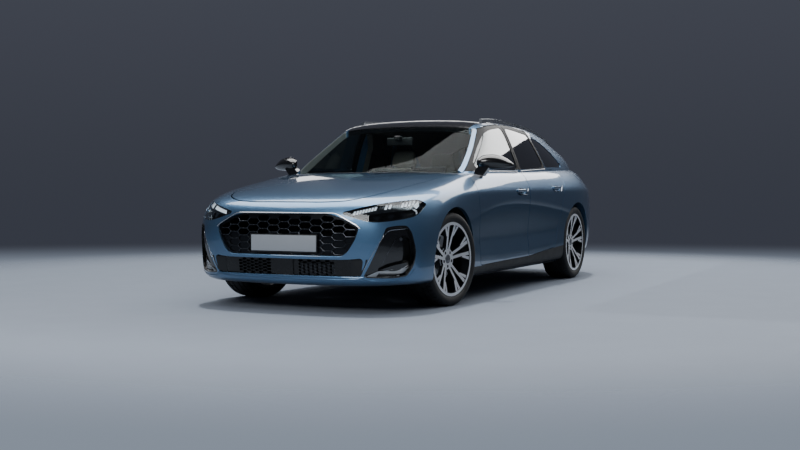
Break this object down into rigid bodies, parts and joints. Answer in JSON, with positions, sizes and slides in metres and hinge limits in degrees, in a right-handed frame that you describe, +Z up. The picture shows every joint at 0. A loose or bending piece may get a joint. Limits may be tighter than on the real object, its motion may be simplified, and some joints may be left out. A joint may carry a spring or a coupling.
{
  "type": "station wagon",
  "caption": "Full-size station wagon with a hollow cabin, opening doors, bonnet and tailgate, steered front wheels and free-turning wheels.",
  "frame": {"origin": "on the floor, under the middle of the overall length and width", "axes": "+X towards the front of the car, +Y to its left, +Z up"},
  "size_m": [4.8284, 2.1554, 1.4461],
  "materials": {
    "body_paint": "metallic blue paint under clear coat",
    "gloss_black": "gloss black paint",
    "clear_glass": "clear safety glass",
    "tinted_glass": "dark tinted safety glass",
    "seat_fabric": "light upholstery",
    "cast_metal": "cast metal",
    "tyre": "black rubber",
    "rim_alloy": "machined and painted alloy",
    "black_plastic": "moulded black plastic",
    "dark_chrome": "dark chrome",
    "satin_alloy": "dark satin anodised",
    "red_lens": "red lamp lens",
    "underbody": "dark coated steel",
    "leather": "black leather"
  },
  "bodies": {
    "root": {"air_curtains": "gloss_black", "cowl_panel": "black_plastic", "dashboard": "black_plastic", "engine_block": "cast_metal", "floor_pan": "underbody", "front_bumper": "body_paint", "front_fenders": "body_paint", "front_seat_left": "seat_fabric", "front_seat_right": "seat_fabric", "front_subframe": "cast_metal", "grille": "dark_chrome", "headlamp_housings": "black_plastic", "headlamp_lenses": "clear_glass", "lower_intake": "black_plastic", "quarter_glass": "tinted_glass", "rear_bench": "seat_fabric", "rear_bumper": "body_paint", "rear_diffuser": "black_plastic", "rear_subframe": "cast_metal", "roof_panel": "gloss_black", "roof_rails": "satin_alloy", "side_frame_left": "body_paint", "side_frame_right": "body_paint", "sill_trims": "black_plastic", "steering_wheel": "leather", "tail_lamps": "red_lens", "windshield": "clear_glass"},
    "front_door_body_left": {"front_door_left": "body_paint", "front_door_glass_left": "clear_glass", "door_mirror_left": "gloss_black"},
    "rear_door_body_left": {"rear_door_left": "body_paint", "rear_door_glass_left": "tinted_glass"},
    "knuckle_left": {"steering_knuckle_left": "cast_metal"},
    "front_wheel_left": {"front_tyre_left": "tyre", "front_rim_left": "rim_alloy"},
    "rear_wheel_left": {"rear_tyre_left": "tyre", "rear_rim_left": "rim_alloy"},
    "front_door_body_right": {"front_door_right": "body_paint", "front_door_glass_right": "clear_glass", "door_mirror_right": "gloss_black"},
    "rear_door_body_right": {"rear_door_right": "body_paint", "rear_door_glass_right": "tinted_glass"},
    "knuckle_right": {"steering_knuckle_right": "cast_metal"},
    "front_wheel_right": {"front_tyre_right": "tyre", "front_rim_right": "rim_alloy"},
    "rear_wheel_right": {"rear_tyre_right": "tyre", "rear_rim_right": "rim_alloy"},
    "bonnet_body": {"bonnet": "body_paint"},
    "tailgate_body": {"tailgate": "body_paint", "rear_glass": "tinted_glass", "light_strip": "red_lens"}
  },
  "joints": [
    {"name": "front_door_left_hinge", "type": "hinge", "parent": "root", "child": "front_door_body_left", "pos_m": [1.083, 0.9135, 0.6], "axis": [0, 0, -1], "range_deg": [0, 68]},
    {"name": "rear_door_left_hinge", "type": "hinge", "parent": "root", "child": "rear_door_body_left", "pos_m": [-0.0507, 0.9085, 0.6], "axis": [0, 0, -1], "range_deg": [0, 68]},
    {"name": "front_door_right_hinge", "type": "hinge", "parent": "root", "child": "front_door_body_right", "pos_m": [1.083, -0.9135, 0.6], "axis": [0, 0, 1], "range_deg": [0, 68]},
    {"name": "rear_door_right_hinge", "type": "hinge", "parent": "root", "child": "rear_door_body_right", "pos_m": [-0.0507, -0.9085, 0.6], "axis": [0, 0, 1], "range_deg": [0, 68]},
    {"name": "bonnet_hinge", "type": "hinge", "parent": "root", "child": "bonnet_body", "pos_m": [1.04, 0, 0.9675], "axis": [0, -1, 0], "range_deg": [0, 50]},
    {"name": "tailgate_hinge", "type": "hinge", "parent": "root", "child": "tailgate_body", "pos_m": [-1.6957, 0, 1.345], "axis": [0, 1, 0], "range_deg": [0, 75]},
    {"name": "steer_left", "type": "hinge", "parent": "root", "child": "knuckle_left", "pos_m": [1.5255, 0.727, 0.34], "axis": [0, 0, 1], "range_deg": [-27.42, 42.58]},
    {"name": "steer_right", "type": "hinge", "parent": "root", "child": "knuckle_right", "pos_m": [1.5255, -0.727, 0.34], "axis": [0, 0, 1], "range_deg": [-27.42, 42.58]},
    {"name": "front_wheel_left_spin", "type": "hinge", "parent": "knuckle_left", "child": "front_wheel_left", "pos_m": [1.5255, 0.727, 0.34], "axis": [0.1319, 0.9913, 0], "continuous": true},
    {"name": "front_wheel_right_spin", "type": "hinge", "parent": "knuckle_right", "child": "front_wheel_right", "pos_m": [1.5255, -0.727, 0.34], "axis": [0.1319, 0.9913, 0], "continuous": true},
    {"name": "rear_wheel_left_spin", "type": "hinge", "parent": "root", "child": "rear_wheel_left", "pos_m": [-1.3745, 0.7835, 0.34], "axis": [0, 1, 0], "continuous": true},
    {"name": "rear_wheel_right_spin", "type": "hinge", "parent": "root", "child": "rear_wheel_right", "pos_m": [-1.3745, -0.7835, 0.34], "axis": [0, 1, 0], "continuous": true}
  ],
  "couplings": [
    {"joint": "steer_right", "follows": "steer_left", "ratio": 1}
  ]
}
